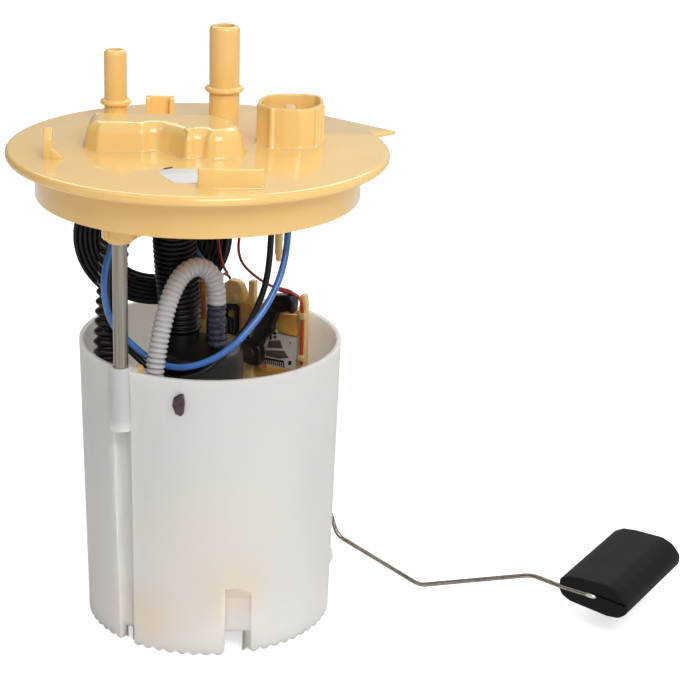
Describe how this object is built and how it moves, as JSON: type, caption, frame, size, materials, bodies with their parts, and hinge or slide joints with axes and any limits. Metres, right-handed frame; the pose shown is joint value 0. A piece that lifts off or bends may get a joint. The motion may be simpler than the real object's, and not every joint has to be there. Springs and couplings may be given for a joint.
{
  "type": "electric fuel pump module",
  "caption": "In-tank fuel pump module: flange sliding on guide rods over a swirl pot with pump, level sender, float arm, hoses and leads.",
  "frame": {"origin": "centre of the tank flange's sealing face, on the axis of its spigot", "axes": "+Z out of the tank along the spigot's axis; +X towards the connector and the pointer; -Y towards the front guide rod and the pot's notch"},
  "size_m": [0.2877, 0.1536, 0.2435],
  "materials": {
    "flange_plastic": "gloss",
    "contact_brass": "satin",
    "sticker_paper": "matte",
    "rod_steel": "polished",
    "spring_steel": "satin",
    "black_hose": "satin",
    "black_plastic": "satin",
    "blue_insulation": "gloss",
    "black_insulation": "gloss",
    "red_insulation": "gloss",
    "pot_plastic": "satin",
    "valve_rubber": "matte",
    "strainer_mesh": "matte",
    "holder_plastic": "satin",
    "shell_steel": "satin",
    "cast_aluminium": "cast",
    "ferrite": "matte",
    "carbon": "matte",
    "clear_hose": "satin",
    "impeller_plastic": "satin",
    "core_iron": "satin",
    "copper": "satin",
    "sender_plastic": "satin",
    "card_ceramic": "satin",
    "float_foam": "matte"
  },
  "bodies": {
    "pot": {"swirl_pot": "pot_plastic", "foot_valve": "valve_rubber", "inlet_strainer": "strainer_mesh", "pump_holder": "holder_plastic", "pump_shell": "shell_steel", "inlet_cover": "cast_aluminium", "pump_chamber": "cast_aluminium", "magnets": "ferrite", "brush_cap": "holder_plastic", "brushes": "carbon", "brush_springs": "spring_steel", "outlet_seal": "valve_rubber", "isolator_lower": "valve_rubber", "isolator_upper": "valve_rubber", "pump_cap": "black_plastic", "jet_pump": "holder_plastic", "jet_hose": "clear_hose", "outlet_valve_spring": "spring_steel", "sender_base": "sender_plastic", "resistor_card": "card_ceramic", "sender_latch": "black_plastic"},
    "flange": {"flange": "flange_plastic", "connector_pins": "contact_brass", "flange_sticker": "sticker_paper", "guide_rod_front": "rod_steel", "guide_rod_rear": "rod_steel", "rod_clip": "rod_steel", "lift_spring": "spring_steel", "vent_coil": "black_hose", "coil_tie": "black_plastic", "feed_hose": "black_hose", "return_hose": "black_hose", "blue_lead": "blue_insulation", "black_lead": "black_insulation", "red_lead_left": "red_insulation", "red_lead_right": "red_insulation", "lead_splice": "red_insulation"},
    "rotor": {"rotor_core": "core_iron", "impeller": "impeller_plastic", "rotor_shaft": "rod_steel", "rotor_winding": "copper", "commutator": "copper"},
    "outlet_poppet": {"outlet_valve": "valve_rubber"},
    "float_arm": {"float_wire": "rod_steel", "wiper_lever": "black_plastic", "wiper_contact": "contact_brass", "float": "float_foam"}
  },
  "joints": [
    {"name": "flange_slide", "type": "slide", "parent": "pot", "child": "flange", "axis": [0, 0, 1], "range_m": [-0.028, 0], "stiffness_N_per_m": 300, "springref_m": 0.05, "deforming": ["lift_spring", "feed_hose", "return_hose", "vent_coil", "blue_lead", "black_lead", "red_lead_left", "red_lead_right", "lead_splice"]},
    {"name": "pump_spin", "type": "hinge", "parent": "pot", "child": "rotor", "pos_m": [0, -0.0083, -0.1372], "axis": [0, 0, 1], "continuous": true},
    {"name": "outlet_check", "type": "slide", "parent": "pot", "child": "outlet_poppet", "axis": [0, 0, 1], "range_m": [0, 0.003], "stiffness_N_per_m": 60, "springref_m": -0.004, "deforming": ["outlet_valve_spring"]},
    {"name": "float_swing", "type": "hinge", "parent": "pot", "child": "float_arm", "pos_m": [0.0248, 0.03468, -0.0948], "axis": [-0.5299, -0.848, 0], "range_deg": [0, 70]}
  ]
}
